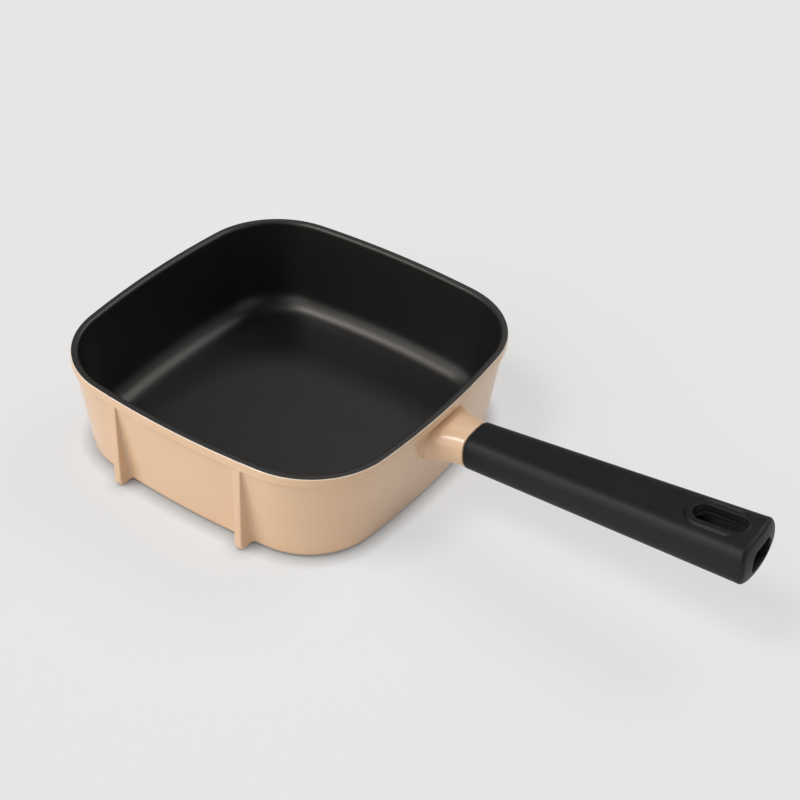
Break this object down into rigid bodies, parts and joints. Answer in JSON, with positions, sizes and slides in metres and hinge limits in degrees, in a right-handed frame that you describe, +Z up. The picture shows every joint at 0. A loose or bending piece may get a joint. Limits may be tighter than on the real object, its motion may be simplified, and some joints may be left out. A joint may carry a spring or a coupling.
{
  "type": "square frying pan",
  "caption": "Deep square frying pan with bowed sides, dark non-stick inside, side standing fins and a tilted black handle with a hang slot, for stovetop cooking",
  "frame": {"origin": "centre of the underside, on the surface that the pan stands on", "axes": "+Z up; +X from the pan's centre along the handle; -Y is the wall with the two standing fins"},
  "size_m": [0.3736, 0.2, 0.0695],
  "materials": {
    "beige_enamel": "satin-gloss beige enamel sprayed on cast aluminium",
    "nonstick_coat": "satin dark non-stick coat",
    "plate_steel": "brushed magnetic steel",
    "black_phenolic": "satin black phenolic moulding with a fine texture",
    "zinc_steel": "zinc-plated steel"
  },
  "bodies": {
    "root": {"pan_casting": "beige_enamel", "nonstick_lining": "nonstick_coat", "induction_plate": "plate_steel", "handle_grip": "black_phenolic", "handle_bolt": "zinc_steel", "flat_washer": "zinc_steel", "spring_washer": "zinc_steel"}
  },
  "joints": []
}
